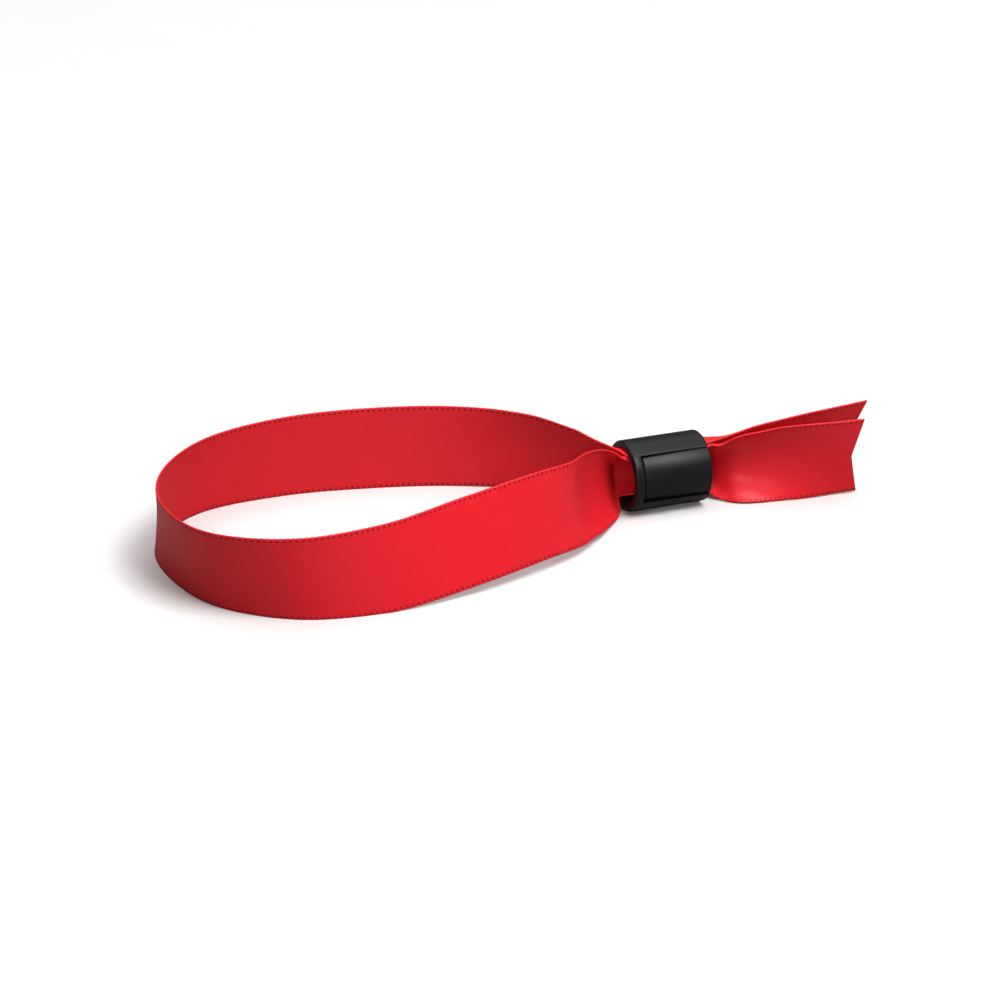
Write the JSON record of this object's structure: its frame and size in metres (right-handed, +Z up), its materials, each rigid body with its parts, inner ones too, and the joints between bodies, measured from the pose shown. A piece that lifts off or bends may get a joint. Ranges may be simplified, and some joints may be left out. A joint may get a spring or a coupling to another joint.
{
  "type": "ribbon wristband with barrel lock",
  "caption": "Satin ribbon wristband: one ribbon forms a wrist loop, and both its ends pass through a one-way barrel lock and end in two notched tails.",
  "frame": {"origin": "on the surface the band stands on, in the middle of the wrist loop, straight below the line of the barrel's axis", "axes": "+X along the barrel from the loop towards the tails, +Z up across the ribbon's width"},
  "size_m": [0.1291, 0.0562, 0.0172],
  "materials": {
    "red_satin": "woven polyester satin, shiny on the outside and dull on the inside",
    "black_plastic": "smooth moulded plastic, half gloss"
  },
  "bodies": {
    "ribbon": {"ribbon_loop": "red_satin", "ribbon_front_neck": "red_satin", "ribbon_back_neck": "red_satin", "ribbon_front_tail_neck": "red_satin", "ribbon_back_tail_neck": "red_satin", "ribbon_front_tail": "red_satin", "ribbon_back_tail": "red_satin"},
    "lock_barrel": {"barrel_shell": "black_plastic", "ribbon_front_in_barrel": "red_satin", "ribbon_back_in_barrel": "red_satin"},
    "flap": {"lock_flap": "black_plastic"}
  },
  "joints": [
    {"name": "barrel_slide", "type": "slide", "parent": "ribbon", "child": "lock_barrel", "axis": [-1, 0, 0], "range_m": [0, 0.04], "deforming": ["ribbon_front_neck", "ribbon_back_neck", "ribbon_front_tail_neck", "ribbon_back_tail_neck"]},
    {"name": "flap_hinge", "type": "hinge", "parent": "lock_barrel", "child": "flap", "pos_m": [0.0433, -0.00336, 0.00693], "axis": [0, -0.1564, -0.9877], "range_deg": [0, 12], "stiffness_Nm_per_rad": 0.02}
  ]
}
